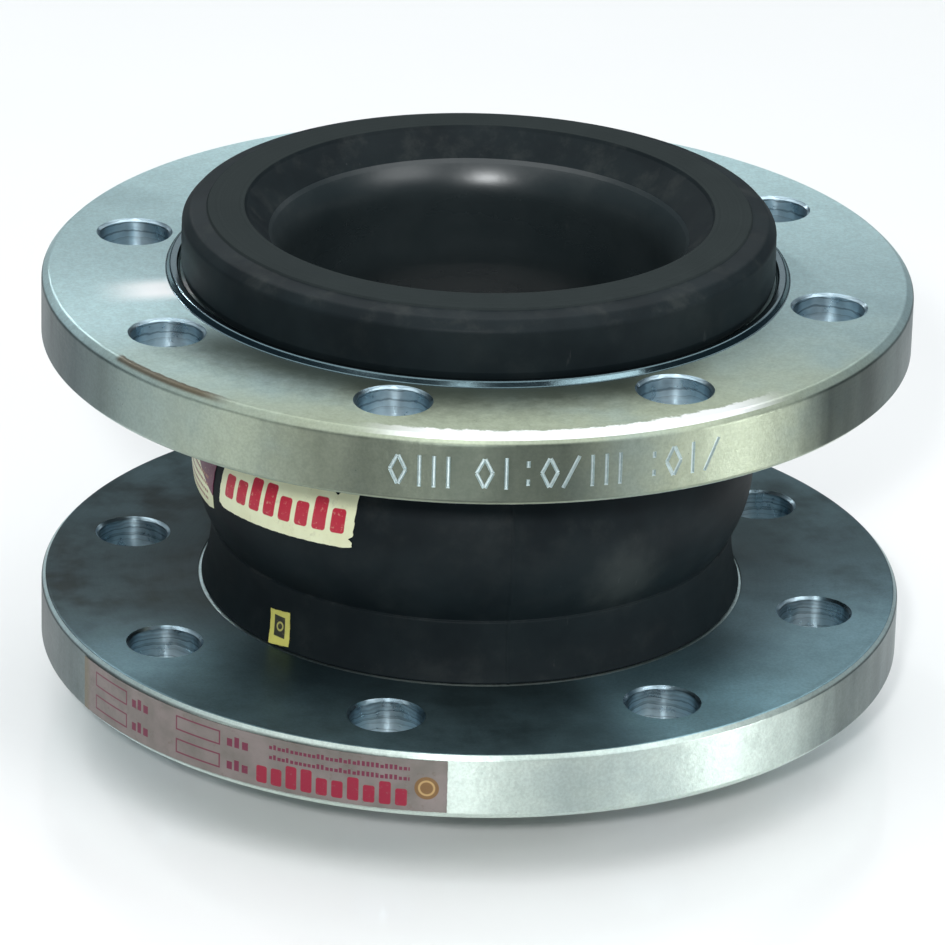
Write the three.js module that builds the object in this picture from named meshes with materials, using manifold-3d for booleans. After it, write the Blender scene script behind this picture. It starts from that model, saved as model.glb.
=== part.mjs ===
// Single-arch rubber expansion joint, DN100, with two loose steel flanges.
// The joint stands on its lower sealing face, and +Z is the pipe axis. Units are millimetres.
import * as THREE from 'three';
import { mergeVertices } from 'three/addons/utils/BufferGeometryUtils.js';
import Module from 'manifold-3d';

const wasm = await Module();
wasm.setup();

// Overall sizes
const LENGTH = 135;
const MID_Z = LENGTH / 2;
const COLLAR_HEIGHT = 17;
const FLANGE_THICKNESS = 17.5;
const FACE_Z = LENGTH - COLLAR_HEIGHT;
const BACK_Z = FACE_Z - FLANGE_THICKNESS;
const GAP = 0.3;

// Flange
const FLANGE_RADIUS = 110;
const FLANGE_BORE_RADIUS = 66.3;
const SEAT_RADIUS = 75.3;
const SEAT_DEPTH = 3;
const BACK_SEAT_RADIUS = 69.8;
const BACK_SEAT_DEPTH = 0.5;
const LIP_RADIUS = 78.6;
const LIP_HEIGHT = 1.5;
const FRONT_CHAMFER = 2;
const BACK_CHAMFER = 1.2;
const BOLT_COUNT = 8;
const BOLT_CIRCLE_RADIUS = 90;
const BOLT_HOLE_RADIUS = 9;

// Rubber
const BORE_RADIUS = 49.2;
const MOUTH_FLARE = 3.2;
const MOUTH_FLARE_START = 50.5;
const MOUTH_FLARE_END = 59.8;
const NECK_RADIUS = 66;
const COLLAR_RADIUS = 75;
const SEAL_INNER_RADIUS = 59.5;
const SEAL_OUTER_RADIUS = 68.5;
const MOUTH_HEIGHT = 9.8;
const LINING_HEIGHT = 9;
const SHOULDER_RADIUS = 69.3;
const SHOULDER_POWER = 2.5;
const CREASE_RADIUS = 66.2;
const CREASE_STEP = 0.5;
const CREASE_OFFSET = 17;
const CROWN_RADIUS = 71.5;
const ARCH_POWER = 2;
const INNER_ARCH_DEPTH = 12;
const INNER_ARCH_HALF = 37.5;
const WALL_OFFSETS = [-55, -50.5, -37.5, -27, -17, -8.5, 0, 8.5, 17, 27, 37.5, 50.5, 55];
const TUBE_THICKNESS = 3;
const PLY_THICKNESS = 0.8;

// Bead hoops, two by two in each collar
const HOOP_WIRE_RADIUS = 1.5;
const HOOP_PITCH = 2 * HOOP_WIRE_RADIUS + GAP;
const HOOP_FIRST_RADIUS = 60.4;
const HOOP_COLUMNS = 2;
const HOOP_ROWS = 2;
const GROOVE_INNER_RADIUS = HOOP_FIRST_RADIUS - HOOP_WIRE_RADIUS - GAP;
const GROOVE_OUTER_RADIUS = HOOP_FIRST_RADIUS + HOOP_PITCH + HOOP_WIRE_RADIUS + GAP;
const GROOVE_HEIGHT = 4.1;
const NECK_TOP = 2.5;

// Labels
const LABEL_THICKNESS = 0.4;
const LABEL_STEP_DEG = 5;

// How finely round shapes are cut
const RUBBER_SEGMENTS = 32;
const FLANGE_SEGMENTS = 48;
const HOLE_SEGMENTS = 20;
const HOOP_SIDES = 6;
const SHOULDER_STEPS = 4;

const MATERIALS = {
  zinc: new THREE.MeshStandardMaterial({ color: 0xa9b0ae, metalness: 0.9, roughness: 0.35 }),
  rubber: new THREE.MeshStandardMaterial({ color: 0x1d2122, metalness: 0, roughness: 0.55 }),
  lining: new THREE.MeshStandardMaterial({ color: 0x15181a, metalness: 0, roughness: 0.45 }),
  cord: new THREE.MeshStandardMaterial({ color: 0xb9ad8e, metalness: 0, roughness: 0.85 }),
  wire: new THREE.MeshStandardMaterial({ color: 0x9a9388, metalness: 0.9, roughness: 0.3 }),
  foil: new THREE.MeshStandardMaterial({ color: 0xa5968f, metalness: 0.5, roughness: 0.45 }),
  paper: new THREE.MeshStandardMaterial({ color: 0xebf0c8, metalness: 0, roughness: 0.6 }),
  tag: new THREE.MeshStandardMaterial({ color: 0xe6dc5a, metalness: 0, roughness: 0.6 }),
};

const ENDS = [
  { name: 'lower', sign: -1 },
  { name: 'upper', sign: 1 },
];

const joint = new THREE.Group();

function addNode(name, geometry, material) {
  const mesh = new THREE.Mesh(geometry, material);
  mesh.name = name;
  joint.add(mesh);
}

// Turns a height above a flange's front face into Z. Both ends point outwards from the middle.
function zAt(end, height) {
  return MID_Z + end.sign * (FACE_Z - MID_Z + height);
}

function signedArea(points) {
  let area = 0;
  points.forEach(([r, z], i) => {
    const [nextR, nextZ] = points[(i + 1) % points.length];
    area += r * nextZ - nextR * z;
  });
  return area / 2;
}

// Turns a closed outline of [radius, z] points about the pipe axis.
function revolve(points, segments) {
  const outline = signedArea(points) > 0 ? [...points] : [...points].reverse();
  const closed = [...outline, outline[0]];
  const profile = closed.map(([r, z]) => new THREE.Vector2(r, z));
  const geometry = new THREE.LatheGeometry(profile, segments);
  geometry.rotateX(Math.PI / 2);
  return geometry;
}

function revolveAtEnd(end, points, segments) {
  const outline = points.map(([r, height]) => [r, zAt(end, height)]);
  return revolve(outline, segments);
}

// Radius of the wall round the bore, which widens behind the arch and at each mouth.
function innerRadius(z) {
  const offset = Math.abs(z - MID_Z);
  const share = Math.min(1, offset / INNER_ARCH_HALF);
  const arch = (INNER_ARCH_DEPTH * (1 + Math.cos(Math.PI * share))) / 2;
  const flareLength = MOUTH_FLARE_END - MOUTH_FLARE_START;
  const flare = MOUTH_FLARE * (Math.max(0, offset - MOUTH_FLARE_START) / flareLength) ** 2;
  return BORE_RADIUS + arch + flare;
}

// Radius of the arch between its two creases.
function archRadius(z) {
  const share = Math.min(1, Math.abs(z - MID_Z) / CREASE_OFFSET);
  return CREASE_RADIUS + (CROWN_RADIUS - CREASE_RADIUS) * (1 - share ** ARCH_POWER);
}

// Radius of the shoulder, which widens from the crease to the flange's back.
function shoulderRadius(z) {
  const length = BACK_Z - MID_Z - CREASE_OFFSET;
  const share = (Math.abs(z - MID_Z) - CREASE_OFFSET) / length;
  const waist = CREASE_RADIUS + CREASE_STEP;
  return waist + (SHOULDER_RADIUS - waist) * Math.min(1, share) ** SHOULDER_POWER;
}

// Levels where every layer of the wall bends, so that neighbouring layers stay parallel.
const wallLevels = WALL_OFFSETS.map((offset) => MID_Z + offset);

function spaced(from, to, count) {
  return Array.from({ length: count + 1 }, (_, i) => from + ((to - from) * i) / count);
}

// Outline between two radii that both follow the bore's wall.
function layerOutline(innerOffset, outerOffset, levels) {
  const inner = levels.map((z) => [innerRadius(z) + innerOffset, z]);
  const outer = levels.map((z) => [innerRadius(z) + outerOffset, z]);
  return [...outer, ...inner.reverse()];
}

// Steel flange
function toManifold(geometry) {
  const bare = geometry.clone();
  bare.deleteAttribute('normal');
  bare.deleteAttribute('uv');
  const merged = mergeVertices(bare, 1e-4);
  const mesh = new wasm.Mesh({
    numProp: 3,
    vertProperties: new Float32Array(merged.attributes.position.array),
    triVerts: new Uint32Array(merged.index.array),
  });
  return new wasm.Manifold(mesh);
}

function toGeometry(solid) {
  const mesh = solid.getMesh();
  const geometry = new THREE.BufferGeometry();
  const positions = new THREE.BufferAttribute(new Float32Array(mesh.vertProperties), 3);
  geometry.setAttribute('position', positions);
  geometry.setIndex(new THREE.BufferAttribute(new Uint32Array(mesh.triVerts), 1));
  geometry.computeVertexNormals();
  return geometry;
}

// The front seat takes the collar, and the shallow one at the back takes the shoulder.
const flangeOutline = [
  [FLANGE_BORE_RADIUS, -FLANGE_THICKNESS + BACK_SEAT_DEPTH],
  [BACK_SEAT_RADIUS, -FLANGE_THICKNESS + BACK_SEAT_DEPTH],
  [BACK_SEAT_RADIUS, -FLANGE_THICKNESS],
  [FLANGE_RADIUS - BACK_CHAMFER, -FLANGE_THICKNESS],
  [FLANGE_RADIUS, -FLANGE_THICKNESS + BACK_CHAMFER],
  [FLANGE_RADIUS, -FRONT_CHAMFER],
  [FLANGE_RADIUS - FRONT_CHAMFER, 0],
  [LIP_RADIUS, 0],
  [LIP_RADIUS - 0.8, LIP_HEIGHT - 0.2],
  [LIP_RADIUS - 1.8, LIP_HEIGHT],
  [LIP_RADIUS - 2.7, LIP_HEIGHT - 0.4],
  [SEAT_RADIUS, 0],
  [FLANGE_BORE_RADIUS, -SEAT_DEPTH],
];

function drillBoltHoles(blank, end) {
  const middle = zAt(end, -FLANGE_THICKNESS / 2);
  let drilled = blank;
  for (let i = 0; i < BOLT_COUNT; i += 1) {
    const angle = ((i + 0.5) * 2 * Math.PI) / BOLT_COUNT;
    const drill = new THREE.CylinderGeometry(
      BOLT_HOLE_RADIUS, BOLT_HOLE_RADIUS, 2 * FLANGE_THICKNESS, HOLE_SEGMENTS,
    );
    drill.rotateX(Math.PI / 2);
    drill.translate(
      BOLT_CIRCLE_RADIUS * Math.cos(angle),
      BOLT_CIRCLE_RADIUS * Math.sin(angle),
      middle,
    );
    drilled = drilled.subtract(toManifold(drill));
  }
  return drilled;
}

function flange(end) {
  const blank = toManifold(revolveAtEnd(end, flangeOutline, FLANGE_SEGMENTS));
  return toGeometry(drillBoltHoles(blank, end));
}

// Rubber collar that stands proud of the flange and seals against the next pipe flange
const liningThickness = TUBE_THICKNESS + 2 * PLY_THICKNESS + 3 * GAP;

// Outline along the outside of the lining, at the wall levels between two heights.
function alongLining(end, fromHeight, toHeight) {
  const shared = wallLevels.map((z) => z - FACE_Z);
  const between = shared.filter((height) => height > fromHeight && height < toHeight);
  return [fromHeight, ...between, toHeight].map((height) => {
    return [innerRadius(zAt(end, height)) + liningThickness, height];
  });
}

const collarOutline = [
  [innerRadius(FACE_Z + LINING_HEIGHT + GAP), LINING_HEIGHT + GAP],
  [innerRadius(FACE_Z + MOUTH_HEIGHT), MOUTH_HEIGHT],
  [SEAL_INNER_RADIUS, COLLAR_HEIGHT],
  [SEAL_OUTER_RADIUS, COLLAR_HEIGHT],
  [SEAL_OUTER_RADIUS + 0.5, COLLAR_HEIGHT - 0.6],
  [COLLAR_RADIUS - 2.4, COLLAR_HEIGHT - 1.4],
  [COLLAR_RADIUS - 0.7, COLLAR_HEIGHT - 2.5],
  [COLLAR_RADIUS, COLLAR_HEIGHT - 4.2],
  [COLLAR_RADIUS, 1.2],
  [COLLAR_RADIUS - 0.4, 0.15],
  [FLANGE_BORE_RADIUS + GAP, -NECK_TOP],
  [GROOVE_OUTER_RADIUS, -NECK_TOP],
  [GROOVE_OUTER_RADIUS, GROOVE_HEIGHT],
  [GROOVE_INNER_RADIUS, GROOVE_HEIGHT],
  [GROOVE_INNER_RADIUS, -NECK_TOP],
  ...alongLining(ENDS[1], -NECK_TOP, LINING_HEIGHT + GAP),
];

// Hoops of hard steel wire in the groove on the collar's back
function hoopOutline(radius, height) {
  const points = [];
  for (let i = 0; i < HOOP_SIDES; i += 1) {
    const angle = (2 * Math.PI * i) / HOOP_SIDES;
    points.push([
      radius + HOOP_WIRE_RADIUS * Math.cos(angle),
      height + HOOP_WIRE_RADIUS * Math.sin(angle),
    ]);
  }
  return points;
}

function addHoops(end) {
  const firstHeight = -NECK_TOP + HOOP_WIRE_RADIUS;
  for (let row = 0; row < HOOP_ROWS; row += 1) {
    for (let column = 0; column < HOOP_COLUMNS; column += 1) {
      const radius = HOOP_FIRST_RADIUS + column * HOOP_PITCH;
      const outline = hoopOutline(radius, firstHeight + row * HOOP_PITCH);
      const number = row * HOOP_COLUMNS + column + 1;
      const geometry = revolveAtEnd(end, outline, RUBBER_SEGMENTS);
      addNode(`${end.name}_bead_hoop_${number}`, geometry, MATERIALS.wire);
    }
  }
}

// Cuff: the neck through the flange and the shoulder behind it
function cuffOutline(end) {
  const crease = CREASE_OFFSET + GAP / 2 - (FACE_Z - MID_Z);
  const back = -FLANGE_THICKNESS + BACK_SEAT_DEPTH - GAP;
  const flare = spaced(-FLANGE_THICKNESS, crease, SHOULDER_STEPS).map((height) => {
    return [shoulderRadius(zAt(end, height)), height];
  });
  const neck = [[NECK_RADIUS, -NECK_TOP - GAP], [NECK_RADIUS, back], [SHOULDER_RADIUS, back]];
  return [...neck, ...flare, ...alongLining(end, crease, -NECK_TOP - GAP)];
}

for (const end of ENDS) {
  addNode(`${end.name}_flange`, flange(end), MATERIALS.zinc);
  const collar = revolveAtEnd(end, collarOutline, RUBBER_SEGMENTS);
  addNode(`${end.name}_sealing_collar`, collar, MATERIALS.rubber);
  addHoops(end);
  const cuff = revolveAtEnd(end, cuffOutline(end), RUBBER_SEGMENTS);
  addNode(`${end.name}_cuff`, cuff, MATERIALS.rubber);
}

// Arch cover between the two creases
const coverBottom = MID_Z - CREASE_OFFSET + GAP / 2;
const coverTop = MID_Z + CREASE_OFFSET - GAP / 2;
const coverLevels = wallLevels.filter((z) => z > coverBottom && z < coverTop);
const coverOutside = spaced(coverBottom, coverTop, 8).map((z) => [archRadius(z), z]);
const coverInside = [coverTop, ...coverLevels.reverse(), coverBottom].map((z) => {
  return [innerRadius(z) + liningThickness, z];
});
const cover = revolve([...coverOutside, ...coverInside], RUBBER_SEGMENTS);
addNode('arch_cover', cover, MATERIALS.rubber);

// Lining tube and the two cord plies, from one collar to the other
const liningBottom = COLLAR_HEIGHT - LINING_HEIGHT;
const liningLevels = [liningBottom, ...wallLevels, LENGTH - liningBottom];
const plyPitch = PLY_THICKNESS + GAP;
const firstPly = TUBE_THICKNESS + GAP;
const secondPly = firstPly + plyPitch;

function addLayer(name, offset, thickness, material) {
  const outline = layerOutline(offset, offset + thickness, liningLevels);
  addNode(name, revolve(outline, RUBBER_SEGMENTS), material);
}

addLayer('inner_tube', 0, TUBE_THICKNESS, MATERIALS.lining);
addLayer('inner_cord_ply', firstPly, PLY_THICKNESS, MATERIALS.cord);
addLayer('outer_cord_ply', secondPly, PLY_THICKNESS, MATERIALS.cord);

// Labels: thin curved sheets, given by angles about the axis from +X and by levels in Z
function curvedSheet(radiusAt, fromDeg, toDeg, levels) {
  const steps = Math.round((toDeg - fromDeg) / LABEL_STEP_DEG);
  const angles = spaced(fromDeg, toDeg, steps).map(THREE.MathUtils.degToRad);
  const positions = [];
  const index = [];
  const columns = angles.length;
  const layerSize = columns * levels.length;
  for (const offset of [GAP, GAP + LABEL_THICKNESS]) {
    for (const z of levels) {
      const radius = radiusAt(z) + offset;
      angles.forEach((a) => positions.push(radius * Math.cos(a), radius * Math.sin(a), z));
    }
  }
  const quad = (a, b, c, d) => index.push(a, b, c, a, c, d);
  for (let row = 0; row < levels.length - 1; row += 1) {
    for (let column = 0; column < columns - 1; column += 1) {
      const a = row * columns + column;
      const [b, c, d] = [a + 1, a + columns + 1, a + columns];
      quad(a, d, c, b);
      quad(layerSize + a, layerSize + b, layerSize + c, layerSize + d);
    }
  }
  const top = (levels.length - 1) * columns;
  for (let column = 0; column < columns - 1; column += 1) {
    const high = top + column;
    quad(column, column + 1, layerSize + column + 1, layerSize + column);
    quad(high + 1, high, layerSize + high, layerSize + high + 1);
  }
  for (let row = 0; row < levels.length - 1; row += 1) {
    const left = row * columns;
    const right = left + columns - 1;
    quad(left + columns, left, layerSize + left, layerSize + left + columns);
    quad(right, right + columns, layerSize + right + columns, layerSize + right);
  }
  const geometry = new THREE.BufferGeometry();
  geometry.setAttribute('position', new THREE.Float32BufferAttribute(positions, 3));
  geometry.setIndex(index);
  geometry.computeVertexNormals();
  return geometry;
}

const rimAt = () => FLANGE_RADIUS;
const lowerBack = COLLAR_HEIGHT + FLANGE_THICKNESS;
const lowerRimLevels = [COLLAR_HEIGHT + FRONT_CHAMFER, lowerBack - BACK_CHAMFER];

addNode('rim_nameplate', curvedSheet(rimAt, -160, -102, lowerRimLevels), MATERIALS.foil);
addNode(
  'arch_label',
  curvedSheet(archRadius, -162, -123, spaced(66, 82, 4)),
  MATERIALS.paper,
);
addNode(
  'arch_side_label',
  curvedSheet(archRadius, -188, -164, spaced(62, 79, 4)),
  MATERIALS.paper,
);
addNode(
  'shoulder_tag',
  curvedSheet(shoulderRadius, -147, -141, spaced(lowerBack + 0.7, lowerBack + 9.7, 3)),
  MATERIALS.tag,
);

export default joint;
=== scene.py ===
"""Looks for a DN100 single-arch rubber expansion joint with two loose steel flanges.

Lengths are in millimetres and angles in degrees; meshes are turned into metres when they are made.
Angles about the pipe axis count from +X towards +Y, so that -90 is the front.
"""

import math

import bpy
import numpy as np
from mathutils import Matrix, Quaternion, Vector


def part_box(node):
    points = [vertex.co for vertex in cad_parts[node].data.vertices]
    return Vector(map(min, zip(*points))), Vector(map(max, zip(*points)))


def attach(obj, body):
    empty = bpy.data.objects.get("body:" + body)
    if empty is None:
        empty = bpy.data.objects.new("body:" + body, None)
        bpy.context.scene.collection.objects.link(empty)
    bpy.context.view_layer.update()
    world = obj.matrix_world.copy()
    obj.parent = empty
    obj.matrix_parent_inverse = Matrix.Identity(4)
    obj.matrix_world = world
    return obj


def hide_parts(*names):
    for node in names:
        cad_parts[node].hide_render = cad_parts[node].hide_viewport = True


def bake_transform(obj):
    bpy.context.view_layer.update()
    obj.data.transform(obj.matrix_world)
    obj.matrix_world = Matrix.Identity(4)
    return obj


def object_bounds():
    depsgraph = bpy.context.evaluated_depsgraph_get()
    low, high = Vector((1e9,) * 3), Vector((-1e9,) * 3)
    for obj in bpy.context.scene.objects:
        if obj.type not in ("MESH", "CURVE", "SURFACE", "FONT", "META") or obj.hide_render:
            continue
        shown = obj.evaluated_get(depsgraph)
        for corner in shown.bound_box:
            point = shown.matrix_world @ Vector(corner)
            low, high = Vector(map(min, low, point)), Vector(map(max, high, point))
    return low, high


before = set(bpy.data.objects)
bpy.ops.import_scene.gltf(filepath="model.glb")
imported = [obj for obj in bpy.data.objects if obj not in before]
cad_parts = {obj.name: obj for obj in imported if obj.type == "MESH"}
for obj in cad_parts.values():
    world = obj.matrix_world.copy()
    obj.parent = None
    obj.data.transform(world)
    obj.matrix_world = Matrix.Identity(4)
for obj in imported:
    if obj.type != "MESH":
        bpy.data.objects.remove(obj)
cad_low, cad_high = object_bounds()

MM = 0.001

# ---- sizes from the frame


def box_mm(node):
    low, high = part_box(node)
    return low / MM, high / MM


LIP_HEIGHT = 1.5
flange_low, flange_high = box_mm("upper_flange")
LENGTH = cad_high.z / MM
MID_Z = LENGTH / 2
FACE_Z = flange_high.z - LIP_HEIGHT
BACK_Z = flange_low.z
FLANGE_THICKNESS = FACE_Z - BACK_Z
FLANGE_RADIUS = flange_high.x
COLLAR_RADIUS = box_mm("upper_sealing_collar")[1].x
COLLAR_HEIGHT = LENGTH - FACE_Z
HALF_GAP = BACK_Z - MID_Z
ENDS = (("lower", -1), ("upper", 1))

# ---- other sizes

FLANGE_BORE_RADIUS = 66.3
BACK_SEAT_RADIUS = 69.8
BACK_SEAT_DEPTH = 0.5
SEAT_DEPTH = 3
SEAT_RADIUS = 75.3
LIP_RADIUS = 78.6
BOLT_COUNT = 8
BOLT_CIRCLE_RADIUS = 90
BOLT_HOLE_RADIUS = 9
HOLE_CHAMFER = 0.7
HOLE_SEGMENTS = 56
FACE_CHAMFER = 1.9
BACK_CHAMFER = 1.2
PUNCH_ANGLE = -89
PUNCH_PITCH = 5.2
PUNCH_HEIGHT = 7.2
PUNCH_BASE = -12.6
PUNCH_DEPTH = 0.45
STROKE_BOTTOM = 0.35
STROKE_TOP = 1.5

THROAT_RADIUS = 49.2
INNER_ARCH_DEPTH = 12
INNER_ARCH_HALF = 37.5
MOUTH_FLARE = 3.2
FLARE_START = 50.5
FLARE_END = 59.8
LINING_END = 59.5
TUBE_THICKNESS = 3
PLY_THICKNESS = 0.8
LAYER_GAP = 0.3
LINING_THICKNESS = TUBE_THICKNESS + 2 * PLY_THICKNESS + 3 * LAYER_GAP
NECK_RADIUS = 66
NECK_TOP = 2.5
SEAL_INNER_RADIUS = 59.5
SEAL_OUTER_RADIUS = 68.5
GROOVE_INNER_RADIUS = 58.6
GROOVE_OUTER_RADIUS = 65.5
GROOVE_HEIGHT = 4.1

CREASE_OFFSET = 17
CREASE_RADIUS = 66.2
CREASE_STEP = 0.5
CREASE_ROUNDING = 0.6
CROWN_RADIUS = 71.5
ARCH_POWER = 2
SHOULDER_RADIUS = 69.3
SHOULDER_POWER = 2.5
FOOT_ROUNDING = 0.7

SEAM_ANGLES = (-91.5, 88.5)
SEAM_HEIGHT = 0.3
SEAM_WIDTH = 0.4

FLANGE_SEGMENTS = 256
RUBBER_SEGMENTS = 240
PLY_SEGMENTS = 96
LINING_STEP = 3
TAIL_STEP = 1.6
BORE_STEP = 2
SKIN_STEPS = (0.15, 1)
LABEL_STEP = 0.5

# The wall's bands, from the lower flange's back to the upper one's: each band's name and the two bodies it
# lies between.
BAND_OFFSETS = (-HALF_GAP, -18.5, -8.5, 8.5, 18.5, HALF_GAP)
BANDS = (
    ("angular_x", "lower_end", "lower_wall"),
    ("lateral_x", "lower_wall", "inner_wall"),
    ("axial", "inner_wall", "arch_wall"),
    ("lateral_y", "arch_wall", "upper_wall"),
    ("angular_y", "upper_wall", "upper_end"),
)


def z_at(sign, height):
    """Z of a height above a flange's front face, where both ends point outwards from the middle."""
    return MID_Z + sign * (FACE_Z - MID_Z + height)


def inner_radius(z):
    """Radius of the bore's wall, which widens behind the arch and at each mouth."""
    offset = np.abs(np.asarray(z, float) - MID_Z)
    share = np.minimum(1, offset / INNER_ARCH_HALF)
    arch = INNER_ARCH_DEPTH * (1 + np.cos(math.pi * share)) / 2
    flare = MOUTH_FLARE * (np.maximum(0, offset - FLARE_START) / (FLARE_END - FLARE_START)) ** 2
    return THROAT_RADIUS + arch + flare


def skin_radius(z):
    """Radius of the rubber's outside between the flanges: the arch, its creases and the shoulders."""
    offset = np.abs(np.asarray(z, float) - MID_Z)
    share = np.minimum(1, offset / CREASE_OFFSET)
    arch = CREASE_RADIUS + (CROWN_RADIUS - CREASE_RADIUS) * (1 - share**ARCH_POWER)
    along = np.clip((offset - CREASE_OFFSET) / (HALF_GAP - CREASE_OFFSET), 0, 1)
    waist = CREASE_RADIUS + CREASE_STEP
    shoulder = waist + (SHOULDER_RADIUS - waist) * along**SHOULDER_POWER
    rise = np.clip((CREASE_OFFSET + CREASE_ROUNDING - offset) / CREASE_ROUNDING, 0, 1)
    shoulder = shoulder - CREASE_STEP * (1 - np.sqrt(1 - rise**2))
    drop = np.clip((offset - HALF_GAP + FOOT_ROUNDING) / FOOT_ROUNDING, 0, 1)
    shoulder = shoulder - FOOT_ROUNDING * (1 - np.sqrt(1 - drop**2))
    return np.where(offset < CREASE_OFFSET, arch, shoulder)


# ---- mesh making


def turned_corner(before, here, after, fillet):
    """Points of the arc that rounds a corner."""
    to_before = (before - here) / np.linalg.norm(before - here)
    to_after = (after - here) / np.linalg.norm(after - here)
    half = math.acos(np.clip(to_before @ to_after, -1, 1)) / 2
    middle = (to_before + to_after) / np.linalg.norm(to_before + to_after)
    centre = here + middle * fillet / math.sin(half)
    start = here + to_before * fillet / math.tan(half) - centre
    end = here + to_after * fillet / math.tan(half) - centre
    sweep = math.atan2(start[0] * end[1] - start[1] * end[0], start @ end)
    steps = max(2, math.ceil(abs(sweep) / math.radians(18)))
    for i in range(steps + 1):
        turn = sweep * i / steps
        c, s = math.cos(turn), math.sin(turn)
        yield centre + np.array((c * start[0] - s * start[1], s * start[0] + c * start[1]))


def rounded(corners):
    """Closed outline of (radius, z) points from corners given as (radius, z, fillet)."""
    points = [np.array(c[:2], float) for c in corners]
    outline = []
    for i, (_, _, fillet) in enumerate(corners):
        if fillet:
            following = points[(i + 1) % len(points)]
            outline.extend(turned_corner(points[i - 1], points[i], following, fillet))
        else:
            outline.append(points[i])
    return np.array(outline)


def make_piece(name, vertices, faces, materials, slots=None):
    """A smooth mesh object from millimetres. Its rest attribute tells materials the points' first places."""
    mesh = bpy.data.meshes.new(name)
    mesh.from_pydata((np.asarray(vertices) * MM).tolist(), [], faces)
    for material in materials:
        mesh.materials.append(material)
    if slots is not None:
        mesh.polygons.foreach_set("material_index", np.asarray(slots, np.int32))
    mesh.polygons.foreach_set("use_smooth", np.ones(len(mesh.polygons), bool))
    store(mesh, "rest", vertices)
    piece = bpy.data.objects.new(name, mesh)
    bpy.context.scene.collection.objects.link(piece)
    return piece


def store(mesh, name, points):
    attribute = mesh.attributes.new(name, "FLOAT_VECTOR", "POINT")
    attribute.data.foreach_set("vector", np.asarray(points, np.float32).ravel())


def keep_flats_flat(piece, sharp_angle=38):
    """Shades rounded edges softly and leaves the large faces beside them flat."""
    piece.data.set_sharp_from_angle(angle=math.radians(sharp_angle))
    weighted = piece.modifiers.new("flats", "WEIGHTED_NORMAL")
    weighted.keep_sharp = True
    return piece


def lathe(name, outline, materials, segments, slot_of=None):
    """A closed outline turned about the pipe axis. slot_of picks the material at a radius and z."""
    r, z = outline.T
    if np.sum(r * np.roll(z, -1) - np.roll(r, -1) * z) < 0:
        outline = outline[::-1]
    angles = np.arange(segments) * 2 * math.pi / segments
    r, z = outline[:, :1], outline[:, 1:]
    vertices = np.stack(
        [r * np.cos(angles), r * np.sin(angles), z * np.ones(segments)], axis=2
    ).reshape(-1, 3)
    faces, slots = [], []
    for i in range(len(outline)):
        k = (i + 1) % len(outline)
        middle = (outline[i] + outline[k]) / 2
        slots += [slot_of(*middle) if slot_of else 0] * segments
        for j in range(segments):
            n = (j + 1) % segments
            faces.append((i * segments + j, i * segments + n, k * segments + n, k * segments + j))
    return make_piece(name, vertices, faces, materials, slots)


# ---- materials


def math_node(name, swapped=False):
    """A method that adds a Math node of that name."""

    def method(self, *others):
        values = (*others, self) if swapped else (self, *others)
        return self.shader.math(name, *values)

    return method


class Value:
    """An output socket of a shader's node. Arithmetic on it adds Math nodes."""

    __add__ = math_node("ADD")
    __sub__ = math_node("SUBTRACT")
    __rsub__ = math_node("SUBTRACT", swapped=True)
    __mul__ = math_node("MULTIPLY")
    __truediv__ = math_node("DIVIDE")
    __lt__ = math_node("LESS_THAN")
    __gt__ = math_node("GREATER_THAN")
    __abs__ = math_node("ABSOLUTE")

    def __init__(self, shader, socket):
        self.shader, self.socket = shader, socket


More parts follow.
